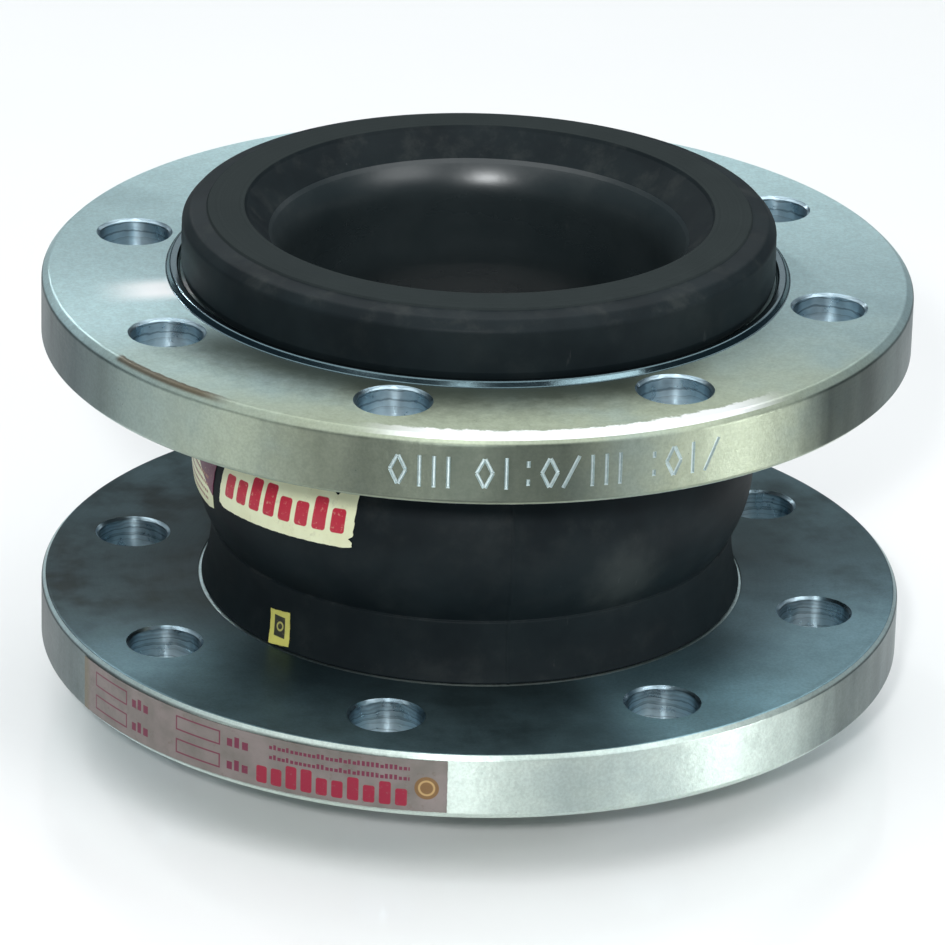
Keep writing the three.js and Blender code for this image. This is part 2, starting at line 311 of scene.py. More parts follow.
class Shader:
    """One node material, built with short calls that take numbers, colours or Values.

    Its millimetres are the points' places at rest, or those along and up a label, or the object's own.
    """

    def __init__(self, name, points="rest", **settings):
        self.material = bpy.data.materials.new(name)
        self.material.use_nodes = True
        tree = self.material.node_tree
        self.nodes, self.links = tree.nodes, tree.links
        self.nodes.clear()
        self.surface = self.nodes.new("ShaderNodeBsdfPrincipled")
        output = self.nodes.new("ShaderNodeOutputMaterial")
        self.links.new(self.surface.outputs[0], output.inputs[0])
        self.set(**settings)
        self.colour = None
        if points == "object":
            self.place = self.stretch(self.add("TexCoord", output="Object"), (1 / MM,) * 3)
        else:
            self.place = self.add("Attribute", output="Vector", attribute_name=points)
        self.x, self.y, self.z = self.split(self.place)

    def add(self, kind, inputs=(), output=0, **settings):
        """An output of a new node of that kind. inputs holds (socket, value) pairs."""
        node = self.nodes.new("ShaderNode" + kind)
        for key, value in settings.items():
            setattr(node, key, value)
        for socket, value in inputs:
            self.feed(node.inputs[socket], value)
        return Value(self, node.outputs[output])

    def feed(self, socket, value):
        if isinstance(value, Value):
            self.links.new(value.socket, socket)
        else:
            socket.default_value = value

    def set(self, **values):
        for socket, value in values.items():
            self.feed(self.surface.inputs[socket.replace("_", " ")], value)

    def math(self, operation, *values, clamp=False):
        return self.add("Math", enumerate(values), operation=operation, use_clamp=clamp)

    def span(self, value, low, high, to_low=0, to_high=1):
        """value mapped smoothly from low..high to to_low..to_high."""
        pairs = enumerate((value, low, high, to_low, to_high))
        return self.add("MapRange", pairs, interpolation_type="SMOOTHSTEP")

    def fall(self, value, low, high):
        """1 up to low, 0 from high on."""
        return self.span(value, low, high, 1, 0)

    def mix(self, factor, first, second):
        """A colour between two."""
        pairs = ((0, factor), (6, rgba(first)), (7, rgba(second)))
        return self.add("Mix", pairs, 2, data_type="RGBA")

    def paint(self, mask, colour, strength=1):
        """Lays a colour over the shader's own where the mask says."""
        self.colour = self.mix(mask * strength, self.colour, colour)

    def noise(self, scale, detail=3, roughness=0.55, stretch=None):
        vector = self.stretch(self.place, stretch) if stretch else self.place
        pairs = (("Vector", vector), ("Scale", scale), ("Detail", detail), ("Roughness", roughness))
        return self.add("TexNoise", pairs)

    def noise_along(self, value, scale, detail=2):
        """Noise along one number, for rings and lines."""
        pairs = (("W", value), ("Scale", scale), ("Detail", detail))
        return self.add("TexNoise", pairs, noise_dimensions="1D")

    def ramp(self, value, stops):
        """A grey tone that runs through (place, tone) stops as value runs from 0 to 1."""
        ramp = self.add("ValToRGB", ((0, value),))
        elements = ramp.socket.node.color_ramp.elements
        while len(elements) < len(stops):
            elements.new(1)
        for element, (place, tone) in zip(elements, sorted(stops)):
            element.position = place
            element.color = (tone, tone, tone, 1)
        return ramp

    def normal(self):
        return self.add("NewGeometry", output="Normal")

    def split(self, vector):
        node = self.add("SeparateXYZ", ((0, vector),)).socket.node
        return [Value(self, socket) for socket in node.outputs]

    def vector_math(self, operation, first, second, output=0):
        return self.add("VectorMath", ((0, first), (1, second)), output, operation=operation)

    def stretch(self, vector, factors):
        return self.vector_math("MULTIPLY", vector, factors)

    def axis_distance(self, x, y):
        return self.math("SQRT", x * x + y * y)

    def bump(self, *layers):
        """Surface relief from (height, depth in millimetres) layers, one on top of the other."""
        normal = None
        for height, depth in layers:
            pairs = [("Height", height), ("Distance", depth * MM), ("Strength", 1)]
            if normal is not None:
                pairs.append(("Normal", normal))
            normal = self.add("Bump", pairs)
        self.set(Normal=normal)

    def finished(self, roughness, *relief):
        self.set(Base_Color=self.colour, Roughness=roughness)
        self.bump(*relief)
        return self.material


def rgba(colour):
    return (*colour, 1) if isinstance(colour, tuple) and len(colour) == 3 else colour


WHITE = (1, 1, 1)
COOL_ZINC = ((0.42, 0.58, 0.6), (0.6, 0.77, 0.78))
WARM_ZINC = ((0.34, 0.36, 0.23), (0.5, 0.53, 0.38))
TIRED_ZINC = (0.3, 0.4, 0.42)
GRAIN_TONE = (0.16, 0.19, 0.17)
SPECK_TONE = (0.13, 0.15, 0.14)
# Painted dark reflection and shade on the zinc, laid by zones round the flanges.
PAINTED_DARK_REFLECTION = (0.02, 0.03, 0.03)
# Painted reflection of the collar on the upper face.
PAINTED_COLLAR_REFLECTION = (0.03, 0.04, 0.03)
BROWN = (0.1, 0.055, 0.02)
WARM_FRONT = (-72, 8)
DRIP = 7.2  # how far the borders of the zones wander, in degrees
FADE_TO_COLLAR = (74, 98)
COLLAR_REFLECTION_RING = (90, 111)
# Painted highlight wedge and painted glint on the upper face.
WEDGE_REACH = (82, 100)
WEDGE_START = 70
GLINT_RADIUS = (106.8, 107.8)
GLINT_START = (-116, -104)
GLINT_END = (-66, -54)
EDGE_STAIN = (-154, -131)
STAIN_FADES = (1.146, 6.875)
STAIN_RADIUS = (107.6, 108.1)
BRUSHED = {"Metallic": 1, "Anisotropic_Rotation": 0.25}
DUST_TONE = (0.105, 0.11, 0.1)
SCUFF_TONE = (0.07, 0.075, 0.075)
SMUDGE = (28, -64, 60)
SMUDGE_REACH = (6, 20)
SMUDGE_TONE = (0.075, 0.085, 0.08)


class Zinc(Shader):
    """Bright zinc over turned steel: fine rings, soft blotches, a warm tint at the front and small specks."""

    def __init__(self, name, warmth, tone):
        super().__init__(name, Anisotropic=0.72, **BRUSHED)
        self.radius = self.axis_distance(self.x, self.y)
        self.angle = self.math("ARCTAN2", self.y, self.x) * math.degrees(1)
        self.blotch = self.noise(0.028, 4)
        self.mottle = self.noise(0.35, 4, 0.65)
        self.grain = self.noise(1.3, 3, 0.6)
        front = self.fall(self.y + self.blotch * 60, *WARM_FRONT)
        cool, warm = (self.mix(self.mottle, *tones) for tones in (COOL_ZINC, WARM_ZINC))
        self.colour = self.mix(front * warmth, cool, warm)
        self.paint(self.span(self.blotch, 0.5, 0.72), TIRED_ZINC, 0.4)
        self.paint(self.fall(self.grain, 0.38, 0.62), GRAIN_TONE, 0.16)
        dots = self.add("TexVoronoi", (("Vector", self.place), ("Scale", 0.42)), feature="F1")
        specks = self.fall(dots, 0.05, 0.11) * self.span(self.noise(0.12), 0.56, 0.64)
        self.paint(specks, SPECK_TONE, 0.5)
        self.colour = self.stretch(self.colour, tone)

    def painted_reflection_zones(self, zones, start):
        """Painted reflections and shade: darkens the zinc by (angle, tone) pairs round the flange, from a
        radius outwards.
        """
        drip = self.noise(1, stretch=(0.07, 0.07, 0.015))
        turn = (self.angle + drip * DRIP + 180) / 360
        zone = self.ramp(turn, [((angle + 180 + DRIP / 2) / 360, tone) for angle, tone in zones])
        zone = zone - self.span(drip, 0.35, 0.75) * 0.12
        if not start:
            # Painted shade: on the backs the zones darken towards the collar.
            zone = zone * self.span(self.radius, *FADE_TO_COLLAR, 0.45, 1)
        self.paint(self.span(self.radius, start, start + 0.4) * (1 - zone), PAINTED_DARK_REFLECTION)

    def painted_light_and_stain(self):
        """Painted reflection of the collar as a dark ring at the front, a painted highlight as a white wedge
        at the left, a painted glint along the front edge, and a brown stain along a stretch of the edge.
        """
        uneven = self.radius + self.mottle * 6 + self.blotch * 10
        # Painted reflection: the collar's dark mirror image on the face in front of it.
        collar_reflection = self.span(uneven, *COLLAR_REFLECTION_RING, 0.88, 0.08) * self.fall(self.y, -48, -18)
        self.paint(collar_reflection * self.span(self.x, 20, 52, 1, 0.15), PAINTED_COLLAR_REFLECTION)
        left = 0 - self.x
        # Painted highlight: a white streak on the face at the left.
        painted_highlight = self.fall(abs(left * 0.07 + self.y), 2, 9.5) * self.fall(left, *WEDGE_REACH)
        self.paint(painted_highlight * (left > WEDGE_START), WHITE)
        # Painted glint: white along the front edge.
        sector = self.span(self.angle, *GLINT_START) * self.fall(self.angle, *GLINT_END)
        at_radius = self.span(self.radius + self.mottle * 5, *GLINT_RADIUS)
        self.paint(sector * at_radius * (self.radius < FLANGE_RADIUS - 1), WHITE, 0.9)
        (start, end), (rise, fall) = EDGE_STAIN, STAIN_FADES
        sector = self.span(self.angle, start, start + rise) * self.fall(self.angle, end - fall, end)
        at_edge = self.span(self.radius + self.mottle * 1.6, *STAIN_RADIUS)
        self.paint(sector * at_edge * self.span(self.z, FACE_Z - 1.2, FACE_Z - 0.5), BROWN, 0.8)

    def turned(self, roughness):
        """The finished material, with the lathe's rings and a slightly wavy rim."""
        across = self.radius + self.z
        rings = self.noise_along(across + self.noise(0.02), 1.6)
        wide_rings = self.noise_along(across, 0.16)
        rough = self.span(self.blotch, 0.25, 0.75, *roughness) + rings * 0.06 + self.mottle * 0.06
        at_edge = self.span(self.radius, FLANGE_RADIUS - 3, FLANGE_RADIUS - 1.6)
        edge_wave = self.noise(0.3, 3, 0.7) * at_edge
        self.set(Tangent=self.add("Tangent", direction_type="RADIAL", axis="Z"))
        relief = (wide_rings, 0.012), (rings, 0.01), (self.mottle, 0.012), (self.grain, 0.008)
        return self.finished(rough, *relief, (edge_wave, 0.1))


def zinc_material(name, warmth, roughness, tone=WHITE, zones=(), zones_from=0, worn=False):
    zinc = Zinc(name, warmth, tone)
    if zones:
        zinc.painted_reflection_zones(zones, zones_from)
    # worn adds the face's painted reflection, painted highlight and painted glint, and its brown stain.
    if worn:
        zinc.painted_light_and_stain()
    return zinc.turned(roughness)


def hole_material():
    """Wall of a drilled hole, with the drill's fine lines round it."""
    shader = Shader("drilled_steel", Anisotropic=0.8, **BRUSHED)
    lines = shader.noise_along(shader.noise(0.12) * 3 + shader.z, 1.1, 3)
    stain = shader.noise(0.22, 3)
    shader.colour = shader.mix(stain, (0.24, 0.35, 0.42), (0.7, 0.84, 0.9))
    shader.paint(shader.span(lines, 0.5, 0.68), (0.12, 0.17, 0.2), 0.6)
    shader.set(Tangent=shader.vector_math("CROSS_PRODUCT", shader.normal(), (0, 0, 1)))
    rough = shader.span(stain, 0.3, 0.7, 0.26, 0.34)
    return shader.finished(rough, (lines, 0.06), (shader.noise(1.4), 0.012))


def rubber_material(name, dark, light, roughness, dust, gloss, smudge=None):
    """Moulded rubber: fine grain, soft flow marks, faint scuffs, and dust where it faces up."""
    shader = Shader(name, Specular_IOR_Level=gloss)
    flow = shader.noise(1, 4, stretch=(0.02, 0.02, 0.09))
    cloud = shader.noise(0.05, 4, 0.6)
    grain = shader.noise(3, 2)
    shader.colour = shader.mix(shader.span(cloud, 0.3, 0.7), dark, light)
    dusty = shader.span(shader.noise(0.09, 5, 0.7), 0.48, 0.72)
    settled = dusty * shader.span(shader.split(shader.normal())[2], -0.1, 0.9, 0.25, 1) * dust
    shader.paint(settled, DUST_TONE)
    if smudge:
        away = shader.vector_math("DISTANCE", shader.place, smudge, "Value")
        away = away + shader.noise(0.25, 5, 0.7) * 10
        shader.paint(shader.fall(away, *SMUDGE_REACH), SMUDGE_TONE, 0.34)
    streaks = shader.noise(1, 3, 0.7, (0.5, 0.5, 0.06))
    scuffs = shader.span(streaks, 0.66, 0.74) * shader.span(shader.noise(0.035), 0.52, 0.62)
    shader.paint(scuffs, SCUFF_TONE, 0.35)
    rough = shader.span(flow, 0.3, 0.7, *roughness) + settled * 0.5
    return shader.finished(rough, (cloud, 0.1), (flow, 0.05), (grain, 0.006))


def land_material():
    """Sealing land: the collar's flat ring, ground matt with fine rings, a little lighter than the rest."""
    shader = Shader("ground_rubber", Specular_IOR_Level=0.03)
    rings = shader.noise_along(shader.axis_distance(shader.x, shader.y), 1.5, 3)
    smear = shader.noise(0.1, 5, 0.7)
    grain = shader.noise(1.8, 3, 0.7)
    shade = rings * 0.35 + smear * 0.75
    shader.colour = shader.mix(shade, (0.0145, 0.019, 0.0195), (0.034, 0.041, 0.041))
    return shader.finished(shader.span(smear, 0.3, 0.7, 0.75, 0.9), (rings, 0.03), (grain, 0.03))


def cord_material():
    """Rubberised cord fabric, with the cords lying crosswise."""
    shader = Shader("cord_fabric", Sheen_Weight=0.3)
    turn = shader.math("ARCTAN2", shader.y, shader.x) * NECK_RADIUS
    ways = (shader.math("SINE", side * 4.2) for side in (turn + shader.z, turn - shader.z))
    weave = shader.math("MAXIMUM", *ways)
    shader.colour = shader.mix(shader.span(weave, -0.2, 0.9), (0.1, 0.085, 0.06), (0.46, 0.41, 0.31))
    shader.paint(shader.span(shader.noise(0.2), 0.5, 0.8), (0.05, 0.045, 0.04))
    return shader.finished(shader.span(weave, -1, 1, 0.9, 0.7), (weave, 0.15))


def wire_material():
    """Drawn bead wire with a thin bronze coat, lines along the wire."""
    shader = Shader("bead_wire", "object", Metallic=1)
    draw = shader.noise_along(shader.axis_distance(shader.x, shader.y) + shader.z, 6, 3)
    shader.colour = shader.mix(shader.noise(0.15, 4), (0.42, 0.3, 0.19), (0.62, 0.52, 0.4))
    return shader.finished(shader.span(draw, 0.3, 0.7, 0.22, 0.4), (draw, 0.02))


def floor_material():
    shader = Shader("pale_floor", Specular_IOR_Level=0.5)
    tone = shader.mix(shader.noise(0.004, 3), (0.95, 0.93, 0.92), (0.97, 0.95, 0.94))
    rough = shader.span(shader.noise(0.01), 0.3, 0.7, 0.14, 0.2)
    shader.set(Base_Color=tone, Roughness=rough)
    return shader.material


class Print(Shader):
    """A printed label's material. Measures are millimetres along and up the label."""

    def __init__(self, name, paper_colours, stain, **settings):
        super().__init__(name, "label", **settings)
        self.along, self.up = self.x, self.y
        self.fibre = self.noise(0.8, 5, 0.7)
        self.cloud = self.noise(0.12, 4)
        self.colour = self.mix(self.span(self.cloud, 0.3, 0.75), *paper_colours)
        self.paint(self.span(self.noise(0.35, 5, 0.75), 0.55, 0.75), *stain)
        self.worn = self.span(self.fibre, 0.56, 0.68, 1, 0.72)

    def within(self, value, low, high, soft=0.12):
        return self.span(value, low - soft, low + soft) * self.fall(value, high - soft, high + soft)

    def ink(self, mask, colour, strength=1):
        self.paint(mask * self.worn, colour, strength)

    def row(self, left, right, pitch):
        """Cells side by side: the place in a cell, a draw for each cell, and where the row is."""
        cell = (self.along - left) / pitch
        index = self.math("FLOOR", cell)
        draw = self.add("TexWhiteNoise", (("W", index),), noise_dimensions="1D")
        return self.math("FRACT", cell) * pitch, draw, self.within(self.along, left, right, 0.05)

    def bars(self, left, right, low, high, pitch, colour, duty=0.7, uneven=0):
        """A row of plain bars. uneven shortens some of them at their upper end."""
        inside, draw, row = self.row(left, right, pitch)
        top = high - (draw > 0.45) * (uneven * (high - low))
        bar = (inside < (draw * 0.3 + 0.85) * (pitch * duty)) * (self.up < top)
        self.ink(bar * row * self.span(self.up, low - 0.1, low + 0.1), colour)

    def blocks(self, left, right, low, height, pitch, colour):
        """A row of plain blocks with round corners, some of them taller."""
        inside, draw, row = self.row(left, right, pitch)
        half_height = (draw > 0.6) * (0.17 * height) + height / 2
        corner = 0.16 * pitch
        past_side = abs(inside - pitch / 2) - 0.21 * pitch
        past_end = abs(self.up - low - half_height) - half_height + corner
        outside = self.axis_distance(*(self.math("MAXIMUM", past, 0) for past in (past_side, past_end)))
        self.ink(self.fall(outside, corner - 0.12, corner + 0.08) * row, colour)

    def box(self, left, right, low, high):
        return self.within(self.along, left, right) * self.within(self.up, low, high)

    def frame(self, left, right, low, high, line, colour):
        """The outline of a box."""
        hollow = self.box(left + line, right - line, low + line, high - line)
        self.ink(self.math("SUBTRACT", self.box(left, right, low, high), hollow, clamp=True), colour)

    def ring(self, centre_along, centre_up, radius, line, colour):
        away = self.axis_distance(self.along - centre_along, self.up - centre_up)
        self.ink(self.within(away, radius - line, radius), colour)

    def printed(self, roughness):
        rough = self.span(self.fibre, 0.3, 0.7, *roughness)
        return self.finished(rough, (self.cloud, 0.06), (self.fibre, 0.02))


CRIMSON = (0.5, 0.008, 0.035)
DARK_CRIMSON = (0.27, 0.01, 0.035)
MAUVE = (0.15, 0.022, 0.05)
PURPLE = (0.13, 0.012, 0.05)
RUSSET = (0.34, 0.14, 0.07)
BLACK = (0.03, 0.03, 0.02)
CREAM = ((0.86, 0.88, 0.6), (0.78, 0.78, 0.5))
FOIL = ((0.22, 0.185, 0.175), (0.15, 0.135, 0.12))
YELLOW = ((0.74, 0.68, 0.16), (0.6, 0.55, 0.13))
GRIME = ((0.3, 0.26, 0.14), 0.35)
FOIL_GRIME = ((0.1, 0.07, 0.045), 0.5)
TAG_GRIME = ((0.25, 0.22, 0.06), 0.4)
LABEL_LIFT = 0.12
LABEL_THICKNESS = 0.16
LABEL_SLANT = 0.06
TAG_SLANT = 0.12
TAG_LEAN = 0.17
CURL_START = 43
CURL_WIDTH = 4
CURL_HEIGHT = 6


def arch_label_material():
    label = Print("arch_label_print", CREAM, GRIME)
    label.up = label.up - label.along * LABEL_SLANT
    label.blocks(2.4, 45.6, 3.4, 6, 5.4, CRIMSON)
    return label.printed((0.35, 0.5))


def side_label_material():
    label = Print("side_label_print", CREAM, GRIME)
    label.ink(label.span(label.along * 0.42 + label.up, 16.4, 16.9), PURPLE)
    for level in (2.2, 4.1, 6, 7.9):
        label.bars(6, 25, level, level + 0.75, 1.3, RUSSET, duty=0.75)
    return label.printed((0.35, 0.5))


def nameplate_material():
    label = Print("nameplate_print", FOIL, FOIL_GRIME, Metallic=0.35)
    for left in (6, 38):
        for low in (2.2, 8.4):
            label.frame(left, left + 14, low, low + 3.9, 0.4, MAUVE)
            label.bars(left + 16, left + 22.5, low + 0.5, low + 3.3, 2.2, MAUVE, uneven=0.25)
    label.blocks(62, 102, 1.4, 4.6, 4, DARK_CRIMSON)
    for low in (8.3, 11):
        label.bars(66, 102, low, low + 1.3, 1.15, MAUVE, uneven=0.3)
    label.ring(106.2, 6.6, 3, 3, (0.17, 0.09, 0.03))
    label.ring(106.2, 6.6, 2.1, 0.5, (0.42, 0.28, 0.12))
    label.ink(label.fall(label.along, 1, 3.5), (0.16, 0.14, 0.09), 0.8)
    return label.printed((0.32, 0.48))


def tag_material():
    label = Print("tag_print", YELLOW, TAG_GRIME)
    upright = label.up * TAG_LEAN + label.along
    label.ink(label.within(upright, 3.2, 7) * label.within(label.up, 2.3, 7.4), BLACK)
    label.ring(4.4, 4.9, 1.2, 0.45, (0.55, 0.5, 0.14))
    return label.printed((0.4, 0.55))


# Painted reflections and shade: tone by angle, round each flange's rim and round both backs.
RIM_START = FLANGE_RADIUS - 0.5
UPPER_RIM_ZONES = (
    (-180, 0.18), (-170, 0.22), (-162, 0.3), (-155, 0.45), (-150, 0.82), (-144, 1), (-138, 1),
    (-134, 0.85), (-127, 1), (-122, 0.84), (-118, 0.62), (-108, 0.4), (-102, 0.27), (-88, 0.3),
    (-80, 0.8), (-73, 1), (-56, 0.95), (-52, 0.6), (-47, 0.25), (-40, 0.2), (-32, 0.32),
    (-10, 0.34), (10, 0.6), (90, 0.6), (150, 0.5), (180, 0.18),
)
LOWER_RIM_ZONES = (
    (-180, 0.12), (-172, 0.2), (-165, 0.25), (-106, 0.8), (-100, 1), (-94, 0.92), (-86, 0.88),
    (-80, 1), (-53, 1), (-48, 0.62), (-42, 0.34), (-34, 0.32), (-18, 0.32), (10, 0.6),
    (90, 0.6), (150, 0.5), (180, 0.12),
)
BACK_ZONES = (
    (-180, 0.09), (-172, 0.11), (-164, 0.22), (-152, 0.52), (-140, 0.34), (-118, 0.38), (-100, 0.24),
    (-86, 0.26), (-79, 0.36), (-72, 0.95), (-56, 1), (-46, 0.66), (-24, 0.62), (-12, 0.36),
    (0, 0.16), (60, 0.18), (180, 0.09),
)
# Painted light: the lower flange's zinc is a brighter copy of the upper's.
LOWER_PAINTED_LIGHT = (1.38, 1.27, 1.25)
ZINC = zinc_material("zinc_turned_steel", 0.85, (0.36, 0.44), WHITE, UPPER_RIM_ZONES, RIM_START, True)
ZINC_LOWER = zinc_material(
    "zinc_turned_steel_lower_painted_light", 0.35, (0.32, 0.4), LOWER_PAINTED_LIGHT, LOWER_RIM_ZONES, RIM_START
)
# Painted glint: the punched marks are a brighter copy of the zinc.
ZINC_PUNCH_PAINTED_GLINT = zinc_material("zinc_punched_painted_glint", 0, (0.4, 0.48), (1.15, 1, 0.98))
# Painted shade and reflection: the flanges' backs are a darker, bluer copy of the zinc, darkened by zones
# round the flange and towards the collar.
ZINC_BACK_PAINTED_SHADE = zinc_material("zinc_back_painted_shade", 0.15, (0.34, 0.42), (0.86, 1.04, 1.16), BACK_ZONES)
# Painted dark reflection: the polished lip's zinc is darkened to stand for the dark collar it mirrors.
ZINC_LIP = zinc_material("zinc_polished_lip_painted_dark", 0.2, (0.08, 0.13), (0.22, 0.25, 0.28))
HOLE = hole_material()
COVER_TONES = (0.0055, 0.0092, 0.0112), (0.0095, 0.015, 0.0172)
LINING_TONES = (0.014, 0.02, 0.022), (0.02, 0.027, 0.029)
COVER = rubber_material("moulded_rubber", *COVER_TONES, (0.5, 0.62), 0.16, 0.12, SMUDGE)
LINING = rubber_material("lining_rubber", *LINING_TONES, (0.26, 0.34), 0.1, 0.68)
LAND = land_material()
CORD = cord_material()
WIRE = wire_material()

# ---- flanges


def end_outline(sign, corners):
    return rounded([(r, z_at(sign, height), fillet) for r, height, fillet in corners])


FLANGE_CORNERS = (
    (FLANGE_BORE_RADIUS, BACK_SEAT_DEPTH - FLANGE_THICKNESS, 0.25),
    (BACK_SEAT_RADIUS, BACK_SEAT_DEPTH - FLANGE_THICKNESS, 0.1),
    (BACK_SEAT_RADIUS, -FLANGE_THICKNESS, 0.15),
    (FLANGE_RADIUS - BACK_CHAMFER, -FLANGE_THICKNESS, 0.6),
    (FLANGE_RADIUS, BACK_CHAMFER - FLANGE_THICKNESS, 0.6),
    (FLANGE_RADIUS, -FACE_CHAMFER, 1.2),
    (FLANGE_RADIUS - FACE_CHAMFER, 0, 1.2),
    (LIP_RADIUS, 0, 0.5),
    (LIP_RADIUS - 0.9, LIP_HEIGHT, 0.75),
    (SEAT_RADIUS + 0.5, LIP_HEIGHT - 0.2, 0.5),
    (SEAT_RADIUS, 0, 0.3),
    (FLANGE_BORE_RADIUS, -SEAT_DEPTH, 0.25),
)


def drill_solid(sign):
    """The eight holes as one mesh of separate bodies, each with a chamfer at both faces of the flange."""
    over = 1
    wide = BOLT_HOLE_RADIUS + HOLE_CHAMFER
    low, high = sorted((z_at(sign, 0), z_at(sign, -FLANGE_THICKNESS)))
    profile = (
        (wide + over, low - over),
        (BOLT_HOLE_RADIUS, low + HOLE_CHAMFER),
        (BOLT_HOLE_RADIUS, high - HOLE_CHAMFER),
        (wide + over, high + over),
    )
    sides = HOLE_SEGMENTS
    vertices, faces = [], []
    for i in range(BOLT_COUNT):
        place = math.radians((i + 0.5) * 360 / BOLT_COUNT)
        centre = BOLT_CIRCLE_RADIUS * math.cos(place), BOLT_CIRCLE_RADIUS * math.sin(place)
        first = len(vertices)
        for radius, z in profile:
            for j in range(sides):
                a = 2 * math.pi * j / sides
                vertices.append((centre[0] + radius * math.cos(a), centre[1] + radius * math.sin(a), z))
        for row in range(len(profile) - 1):
            for j in range(sides):
                n = (j + 1) % sides
                a, b = first + row * sides, first + (row + 1) * sides
                faces.append((a + j, a + n, b + n, b + j))
        last = first + (len(profile) - 1) * sides
        faces.append(tuple(first + j for j in reversed(range(sides))))
        faces.append(tuple(last + j for j in range(sides)))
    return make_piece("drills", vertices, faces, [HOLE])


def punched_strokes():
    """Strokes of a row of plain marks: bars, slashes, diamonds and dots, as pairs of (along, up) points."""
    high, middle, half, gap = PUNCH_HEIGHT, PUNCH_HEIGHT / 2, PUNCH_PITCH * 0.33, 0.3
    bar = [((0, 0), (0, high))]
    slash = [((-half, 0), (half, high))]
    diamond = [
        ((-half, middle - 0.4), (-gap, gap)),
        ((gap, gap), (half, middle - 0.4)),
        ((half, middle + 0.4), (gap, high - gap)),
        ((-gap, high - gap), (-half, middle + 0.4)),
    ]
    dots = [((0, 0.9), (0, 1.6)), ((0, high - 1.6), (0, high - 0.9))]
    twin = [((-half, 0), (-half, high)), ((half, 0), (half, high))]
    row = diamond, bar, twin, (), diamond, bar, dots, diamond, slash, bar, twin, (), dots, diamond, bar, slash
    for i, mark in enumerate(row):
        centre = (i - (len(row) - 1) / 2) * PUNCH_PITCH
        for (a, b), (c, d) in mark:
            yield (centre + a, b), (centre + c, d)


def punch_solid(sign):
    """The marks as a cutter for the rim: each stroke narrows towards its bottom."""
    vertices, faces = [], []
    middle = math.radians(PUNCH_ANGLE)
    for start, end in punched_strokes():
        first = len(vertices)
        length = math.hypot(end[0] - start[0], end[1] - start[1])
        run = (end[0] - start[0]) / length, (end[1] - start[1]) / length
        for depth, width in ((-PUNCH_DEPTH, STROKE_BOTTOM), (PUNCH_DEPTH, STROKE_TOP)):
            radius, reach = FLANGE_RADIUS + depth, width / 2
            for point, ahead, aside in ((start, -1, -1), (end, 1, -1), (end, 1, 1), (start, -1, 1)):
                along = point[0] + reach * (ahead * run[0] - aside * run[1])
                up = point[1] + reach * (ahead * run[1] + aside * run[0])
                angle = middle + along / FLANGE_RADIUS
                z = z_at(sign, PUNCH_BASE + up)
                vertices.append((radius * math.cos(angle), radius * math.sin(angle), z))
        box = ((0, 1, 2, 3), (4, 7, 6, 5), (0, 4, 5, 1), (1, 5, 6, 2), (2, 6, 7, 3), (3, 7, 4, 0))
        faces += [tuple(first + k for k in reversed(face)) for face in box]
    return make_piece("punches", vertices, faces, [ZINC_PUNCH_PAINTED_GLINT])


def baked_down(piece, cutters):
    """piece with its cuts made for good. The cutters are removed."""
    for cutter in cutters:
        cut = piece.modifiers.new("cut", "BOOLEAN")
        cut.operation, cut.object, cut.solver = "DIFFERENCE", cutter, "EXACT"
        cut.material_mode = "TRANSFER"
        cut.use_self = cutter.name == "punches"
    bpy.context.view_layer.update()
    graph = bpy.context.evaluated_depsgraph_get()
    mesh = bpy.data.meshes.new_from_object(piece.evaluated_get(graph))
    piece.modifiers.clear()
    piece.data = mesh
    for cutter in cutters:
        bpy.data.objects.remove(cutter)
    points = np.empty(len(mesh.vertices) * 3, np.float32)
    mesh.vertices.foreach_get("co", points)
    mesh.attributes.remove(mesh.attributes["rest"])
    store(mesh, "rest", points / MM)
    mesh.polygons.foreach_set("use_smooth", np.ones(len(mesh.polygons), bool))
    return piece


def make_flange(end, sign):
    def slot_of(radius, z):
        height = sign * (z - z_at(sign, 0))
        if radius < LIP_RADIUS + 0.3 and height > -0.05:
            return 1
        return 2 if height < 0.3 - FLANGE_THICKNESS and radius > BACK_SEAT_RADIUS else 0

    outline = end_outline(sign, FLANGE_CORNERS)
    materials = [ZINC if sign > 0 else ZINC_LOWER, ZINC_LIP, ZINC_BACK_PAINTED_SHADE]
    piece = lathe(f"{end}_flange_turned", outline, materials, FLANGE_SEGMENTS, slot_of)
    cutters = [drill_solid(sign)]
    if sign > 0:
        cutters.append(punch_solid(sign))
    keep_flats_flat(baked_down(piece, cutters), 34)
    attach(piece, f"{end}_flange_ring")
    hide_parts(f"{end}_flange")


# ---- rubber ends


def lining_edge(low, high):
    """Corners along the outside of the lining, for an outline that meets it."""
    count = max(2, math.ceil((high - low) / LINING_STEP))
    return [
        (float(inner_radius(z_at(1, height))) + LINING_THICKNESS, height, 0)
        for height in np.linspace(low, high, count + 1)
    ]


LINING_TOP = LINING_END - (FACE_Z - MID_Z)
MOUTH_HEIGHT = 9.8


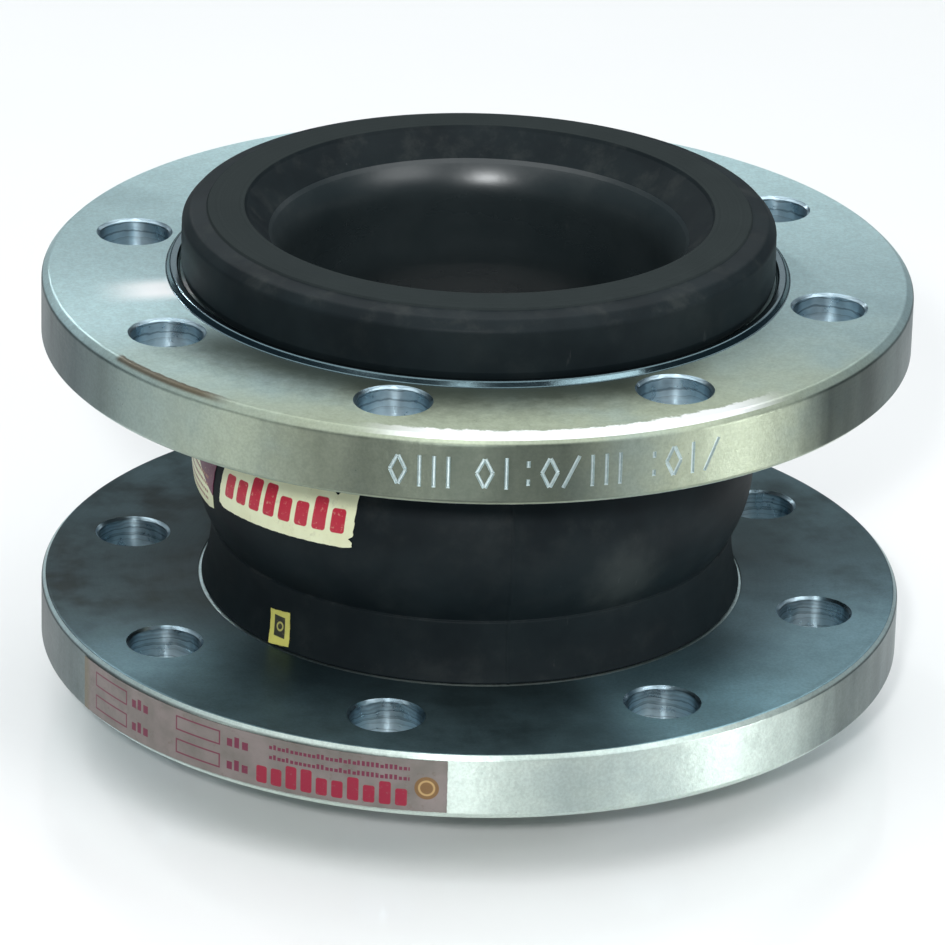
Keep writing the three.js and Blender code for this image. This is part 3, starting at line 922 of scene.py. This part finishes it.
def collar_corners():
    return (
        (float(inner_radius(z_at(1, LINING_TOP))), LINING_TOP, 0),
        (float(inner_radius(z_at(1, MOUTH_HEIGHT))) + 0.3, MOUTH_HEIGHT + 0.3, 2.2),
        (SEAL_INNER_RADIUS - 0.9, COLLAR_HEIGHT - 0.9, 0.5),
        (SEAL_INNER_RADIUS - 0.3, COLLAR_HEIGHT, 0.3),
        (SEAL_INNER_RADIUS + 0.7, COLLAR_HEIGHT - 0.02, 0.2),
        (SEAL_OUTER_RADIUS - 0.2, COLLAR_HEIGHT - 0.25, 0.3),
        (SEAL_OUTER_RADIUS + 0.2, COLLAR_HEIGHT - 0.9, 0.3),
        (COLLAR_RADIUS - 2.2, COLLAR_HEIGHT - 1.7, 1.6),
        (COLLAR_RADIUS - 0.2, COLLAR_HEIGHT - 4, 1.8),
        (COLLAR_RADIUS, 2.4, 1),
        (COLLAR_RADIUS - 0.6, 0.2, 0.6),
        (FLANGE_BORE_RADIUS + LAYER_GAP, -NECK_TOP, 0.3),
        (GROOVE_OUTER_RADIUS, -NECK_TOP, 0),
        (GROOVE_OUTER_RADIUS, GROOVE_HEIGHT, 0),
        (GROOVE_INNER_RADIUS, GROOVE_HEIGHT, 0),
        (GROOVE_INNER_RADIUS, -NECK_TOP, 0),
        *lining_edge(-NECK_TOP, LINING_TOP),
    )


def make_rubber_end(end, sign):
    def slot_of(radius, z):
        height = sign * (z - MID_Z) - (FACE_Z - MID_Z)
        if height > COLLAR_HEIGHT - 0.6 and SEAL_INNER_RADIUS - 0.5 < radius < SEAL_OUTER_RADIUS + 0.1:
            return 1
        return 2 if height > LINING_TOP and radius < SEAL_INNER_RADIUS - 6.5 else 0

    outline = end_outline(sign, collar_corners())
    collar = lathe(f"{end}_collar_moulding", outline, [COVER, LAND, LINING], RUBBER_SEGMENTS, slot_of)
    neck_corners = (
        (NECK_RADIUS, -FLANGE_THICKNESS, 0),
        (NECK_RADIUS, -NECK_TOP - LAYER_GAP, 0.3),
        *reversed(lining_edge(-FLANGE_THICKNESS, -NECK_TOP - LAYER_GAP)),
    )
    neck = lathe(f"{end}_neck", end_outline(sign, neck_corners), [COVER], RUBBER_SEGMENTS // 2)
    for piece, node in ((collar, "sealing_collar"), (neck, "cuff")):
        keep_flats_flat(piece)
        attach(piece, f"{end}_end")
        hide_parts(f"{end}_{node}")
    for number in range(1, 5):
        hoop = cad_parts[f"{end}_bead_hoop_{number}"]
        hoop.data.materials.clear()
        hoop.data.materials.append(WIRE)


# ---- the wall


def wall_levels(fine, coarse):
    """Z levels across the gap: each band's end, fine steps at creases and feet, coarse ones elsewhere."""
    dense = ((CREASE_OFFSET - 0.8, CREASE_OFFSET + 1), (HALF_GAP - 1, HALF_GAP))
    steps = sorted({0, *BAND_OFFSETS[3:], *dense[0], *dense[1]})
    filled = []
    for low, high in zip(steps, steps[1:]):
        in_dense = any(a <= low and high <= b for a, b in dense)
        count = math.ceil((high - low) / (fine if in_dense else coarse) - 1e-6)
        filled += list(np.linspace(low, high, count, endpoint=False))
    half = np.array([*filled, steps[-1]])
    return MID_Z + np.concatenate([-half[:0:-1], half])


def wall_angles(segments, seam_angles):
    """Angles round the wall, closer together over the mould's parting seams."""
    angles = list(np.arange(segments) * 360 / segments - 180)
    near = math.degrees(2.6 * SEAM_WIDTH / CROWN_RADIUS)
    for seam in seam_angles:
        angles = [a for a in angles if abs(a - seam) > 1.3 * near]
        angles += list(seam + np.linspace(-near, near, 11))
    return np.radians(sorted(angles))


def seam_relief(angles, z):
    """Height of the parting seams over the wall, worn in places."""
    relief = np.zeros((len(z), len(angles)))
    wear = 0.75 + 0.25 * np.sin(0.9 * z) * np.sin(0.23 * z + 1)
    for seam in SEAM_ANGLES:
        distance = (angles - math.radians(seam)) * CROWN_RADIUS
        relief += SEAM_HEIGHT * wear[:, None] * np.exp(-((distance / SEAM_WIDTH) ** 2))[None, :]
    return relief


def hand_made(angles, z):
    """Slight unevenness of the moulding, a tenth of a millimetre."""
    a, h = angles[None, :], z[:, None]
    return 0.07 * np.sin(3 * a + 0.05 * h) + 0.05 * np.sin(5 * a + 1.3) * np.cos(0.11 * h)


def ring_grid(radius, angles, z):
    ones = np.ones_like(radius)
    return np.stack([radius * np.cos(angles), radius * np.sin(angles), ones * z[:, None]], axis=2)


def grid_normals(grid):
    across = np.roll(grid, -1, axis=1) - np.roll(grid, 1, axis=1)
    upward = np.gradient(grid, axis=0)
    normals = np.cross(across, upward)
    return normals / np.linalg.norm(normals, axis=2, keepdims=True)


def wall_band(name, outer, inner, rows, material):
    """The closed ring between two rows of a layer. The whole layer's normals hide where bands meet."""
    first, last = rows
    count = last - first + 1
    columns = outer[0].shape[1]
    size = count * columns
    points = np.concatenate([surface[0][first : last + 1].reshape(-1, 3) for surface in (outer, inner)])
    normals = np.concatenate(
        [sign * surface[1][first : last + 1].reshape(-1, 3) for sign, surface in ((1, outer), (-1, inner))]
    )
    here = np.arange(columns)
    beside = np.roll(here, -1)
    faces, face_normals = [], []

    def strip(a, b, flat=None):
        quads = np.stack([a + here, a + beside, b + beside, b + here], axis=1)
        faces.append(quads)
        face_normals.append(normals[quads] if flat is None else np.broadcast_to(flat, (columns, 4, 3)))

    for row in range(count - 1):
        strip(row * columns, (row + 1) * columns)
        strip(size + (row + 1) * columns, size + row * columns)
    strip(size, 0, (0, 0, -1))
    strip(size - columns, 2 * size - columns, (0, 0, 1))
    piece = make_piece(name, points, np.concatenate(faces).tolist(), [material])
    piece.data.normals_split_custom_set(np.concatenate(face_normals).reshape(-1, 3).tolist())
    return piece


def blend_on_band(piece, index):
    _, below, above = BANDS[index]
    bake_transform(piece)


def make_wall_layer(name, inner_at, outer_at, levels, angles, material, slot, stands_for, on_skin=False):
    """Five bands of one layer, one for each stretch between two bodies of the joint chain."""
    outer_radius = np.broadcast_to(outer_at(levels)[:, None], (len(levels), len(angles))).copy()
    inner_radii = np.broadcast_to(inner_at(levels)[:, None], outer_radius.shape).copy()
    if on_skin:
        outer_radius += seam_relief(angles, levels) + hand_made(angles, levels)
    surfaces = []
    for radius in (outer_radius, inner_radii):
        grid = ring_grid(radius, angles, levels)
        surfaces.append((grid, grid_normals(grid)))
    outer, inner = surfaces
    rows = [int(np.argmin(abs(levels - MID_Z - offset))) for offset in BAND_OFFSETS]
    rows[0], rows[-1] = 0, len(levels) - 1
    for index, (band, _, _) in enumerate(BANDS):
        piece = wall_band(f"{name}_{band}", outer, inner, rows[index : index + 2], material)
        blend_on_band(piece, index)
        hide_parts(stands_for[index])


def out(thickness):
    """The surface that lies a thickness outside the bore's wall."""
    return lambda z: inner_radius(z) + thickness


def make_wall():
    tail = np.append(np.arange(HALF_GAP, LINING_END, TAIL_STEP)[1:], LINING_END)
    deep = np.concatenate([MID_Z - tail[::-1], wall_levels(BORE_STEP, BORE_STEP), MID_Z + tail])
    skin = wall_levels(*SKIN_STEPS)
    seamed = wall_angles(RUBBER_SEGMENTS, SEAM_ANGLES)
    plain = wall_angles(RUBBER_SEGMENTS, ())
    coarse = wall_angles(PLY_SEGMENTS, ())
    cuffs = ("lower_cuff", "arch_cover", "arch_cover", "arch_cover", "upper_cuff")
    tube = ("inner_tube",) * 5
    make_wall_layer(
        "cover", out(LINING_THICKNESS), skin_radius, skin, seamed, COVER, "cover_rubber", cuffs, True
    )
    make_wall_layer("tube", out(0), out(TUBE_THICKNESS), deep, plain, LINING, "lining_rubber", tube)
    for number, node in enumerate(("inner_cord_ply", "outer_cord_ply")):
        low = TUBE_THICKNESS + LAYER_GAP + number * (PLY_THICKNESS + LAYER_GAP)
        surfaces = out(low), out(low + PLY_THICKNESS)
        make_wall_layer(f"ply_{number + 1}", *surfaces, deep, coarse, CORD, "cord_fabric", (node,) * 5)


# ---- labels


def edge(at, amount, phase, slope=0, dents=()):
    """One edge of a label: a straight line, frayed by an amount, with (centre, width, depth) dents."""

    def place(t):
        wave = math.sin(2.1 * t + phase) + 0.6 * math.sin(5.3 * t + 2 * phase) + 0.4 * math.sin(11.7 * t)
        dented = sum(depth * math.exp(-(((t - centre) / width) ** 2)) for centre, width, depth in dents)
        return at + slope * t + amount * wave / 2 + dented

    return place


class Label:
    """A thin curved sheet on a round wall, in millimetres along and up the label. It has four edges."""

    def __init__(self, radius_at, first_deg, low_z, edges, curl=lambda along, up: 0):
        self.radius_at, self.low_z, self.curl = radius_at, low_z, curl
        self.first = math.radians(first_deg)
        self.left, self.right, self.bottom, self.top = edges
        self.mean_radius = float(radius_at(low_z))

    def point(self, along, up, raised):
        z = self.low_z + up
        angle = self.first + along / self.mean_radius
        radius = float(self.radius_at(z)) + LABEL_LIFT + self.curl(along, up) + raised
        return radius * math.cos(angle), radius * math.sin(angle), z

    def build(self, name, material, low=None, high=None):
        """The part of the label between two heights, or all of it."""
        bottom = (lambda along: low) if low is not None else self.bottom
        top = (lambda along: high) if high is not None else self.top
        middle = (bottom(0) + top(0)) / 2
        width, height = self.right(middle) - self.left(middle), top(0) - bottom(0)
        columns, rows = (math.ceil(size / LABEL_STEP) for size in (width, height))
        places = []
        for j in range(rows + 1):
            for i in range(columns + 1):
                share, rise = i / columns, j / rows
                up = bottom(share * width) * (1 - rise) + top(share * width) * rise
                along = self.left(up) * (1 - share) + self.right(up) * share
                places.append((along, up))
        vertices = [self.point(a, u, raised) for raised in (0, LABEL_THICKNESS) for a, u in places]
        size, row = len(places), columns + 1
        faces = []
        for j in range(rows):
            for i in range(columns):
                a = j * row + i
                faces.append((size + a, size + a + 1, size + a + row + 1, size + a + row))
                faces.append((a, a + row, a + row + 1, a + 1))
        rim = [*range(columns), *range(columns, size, row)]
        rim += [*range(size - 2, size - row, -1), *range(size - row, 0, -row)]
        for a, b in zip(rim, rim[1:] + rim[:1]):
            faces.append((a, b, size + b, size + a))
        piece = make_piece(name, vertices, faces, [material])
        store(piece.data, "label", [(a, u, 0) for a, u in places] * 2)
        piece.data.set_sharp_from_angle(angle=math.radians(50))
        return piece


def make_wall_labels():
    split = MID_Z + BAND_OFFSETS[3]
    arch_edges = (
        edge(0.4, 0.12, 0.3),
        edge(47.4, 0.22, 2, dents=((5.2, 0.45, -1.3), (1.8, 1, -0.9))),
        edge(0, 0.08, 1, LABEL_SLANT, ((48, 2.2, 1), (0, 1.5, 0.9))),
        edge(13.4, 0.1, 0.4, LABEL_SLANT, ((41, 0.9, -1),)),
    )
    side_edges = (
        edge(0, 0.1, 1.7),
        edge(28.3, 0.12, 0.9),
        edge(0.5, 0.08, 2.2, dents=((28.5, 2, 0.8),)),
        edge(16.6, 0.08, 0.2),
    )

    def loose_corner(along, up):
        share = max(0, (along - CURL_START) / CURL_WIDTH)
        return 0.5 * share**2 * max(0, 1 - up / CURL_HEIGHT)

    arch = Label(skin_radius, -162, 66, arch_edges, loose_corner)
    side = Label(skin_radius, -188, 62, side_edges)
    for node, label, material in (
        ("arch_label", arch, arch_label_material()),
        ("arch_side_label", side, side_label_material()),
    ):
        cut = split - label.low_z
        for part, band, low, high in (("low", 2, None, cut), ("high", 3, cut, None)):
            piece = label.build(f"{node}_{part}", material, low, high)
            blend_on_band(piece, band)
            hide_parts(node)
    tag_edges = (
        edge(1.6, 0.08, 0.5, -TAG_LEAN),
        edge(8.6, 0.1, 2.5, -TAG_LEAN),
        edge(0, 0.06, 1.5, TAG_SLANT),
        edge(8.3, 0.1, 0.8, TAG_SLANT),
    )
    tag = Label(skin_radius, -147.5, 34.9, tag_edges).build("shoulder_tag_print", tag_material())
    blend_on_band(tag, 0)
    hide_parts("shoulder_tag")


def make_nameplate():
    low, high = (corner.z for corner in box_mm("rim_nameplate"))
    inset = 0.25
    edges = (
        edge(0, 0.12, 0.1),
        edge(111.2, 0.06, 1.1),
        edge(inset, 0.05, 0.6),
        edge(high - low - inset, 0.05, 1.9),
    )
    label = Label(lambda z: FLANGE_RADIUS, -160, low, edges)
    plate = label.build("rim_nameplate_print", nameplate_material())
    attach(plate, "lower_flange_ring")
    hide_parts("rim_nameplate")


# ---- camera, light and floor

CAMERA_AZIMUTH = -10
CAMERA_ELEVATION = 23.2
CAMERA_ROLL = 1.58
CAMERA_DISTANCE = 1.668
CAMERA_LENS = 248.5
TARGET = (0, 0, 0.0621)
FLOOR_HALF = 3000
SKY = (0.5, 0.8, 1, 1)
SKY_STRENGTH = 0.09
COOL_LIGHT = (0.96, 0.99, 1)


def direction(azimuth, elevation):
    """Unit vector from the object. Azimuth 0 is the front and 90 is the right, seen from above."""
    a, e = math.radians(azimuth), math.radians(elevation)
    return Vector((math.sin(a) * math.cos(e), -math.cos(a) * math.cos(e), math.sin(e)))


def aim(data, azimuth, elevation, distance, roll=0):
    """A camera or light round the target, looking at it."""
    thing = bpy.data.objects.new(data.name, data)
    bpy.context.scene.collection.objects.link(thing)
    towards = direction(azimuth, elevation)
    thing.location = Vector(TARGET) + towards * distance
    thing.rotation_mode = "QUATERNION"
    turn = Quaternion((0, 0, 1), math.radians(roll))
    thing.rotation_quaternion = (-towards).to_track_quat("-Z", "Y") @ turn
    return thing


def make_camera():
    data = bpy.data.cameras.new("camera")
    data.lens, data.sensor_width = CAMERA_LENS, 36
    data.clip_start, data.clip_end = 0.05, 50
    place = CAMERA_AZIMUTH, CAMERA_ELEVATION, CAMERA_DISTANCE
    bpy.context.scene.camera = aim(data, *place, CAMERA_ROLL)


def soft_box(name, azimuth, elevation, distance, size, power, colour=COOL_LIGHT):
    data = bpy.data.lights.new(name, "AREA")
    data.shape, data.size, data.size_y = "RECTANGLE", *size
    data.energy, data.color = power, colour
    aim(data, azimuth, elevation, distance)


def make_studio():
    world = bpy.data.worlds.new("studio")
    bpy.context.scene.world = world
    world.use_nodes = True
    background = world.node_tree.nodes["Background"]
    background.inputs[0].default_value = SKY
    background.inputs[1].default_value = SKY_STRENGTH
    soft_box("overhead", 172, 84, 1.3, (2.6, 2.6), 35)
    soft_box("back_low", 156, 27, 1.5, (1.9, 0.35), 1.75)
    soft_box("back_left", -160, 29, 1.5, (0.12, 0.12), 2.2)
    soft_box("flash", -14, 27, 1.75, (0.1, 0.1), 14)
    soft_box("window_right", 38, 34, 1.5, (0.75, 0.35), 4)
    soft_box("front_low", -12, 3, 1.5, (0.1, 0.2), 0.4)
    soft_box("left_side", -72, 2, 1.4, (0.22, 0.22), 1.1, (0.97, 0.99, 0.97))
    soft_box("right_side", 57, 2, 1.4, (0.4, 0.22), 3.2)
    corners = [(x * FLOOR_HALF, y * FLOOR_HALF, 0) for x, y in ((-1, -1), (1, -1), (1, 1), (-1, 1))]
    floor = make_piece("floor", corners, [(0, 1, 2, 3)], [floor_material()])
    bpy.context.scene.view_settings.view_transform = "Standard"


# ---- everything together

make_camera()
make_studio()
for end, sign in ENDS:
    make_flange(end, sign)
    make_rubber_end(end, sign)
make_wall()
make_wall_labels()
make_nameplate()
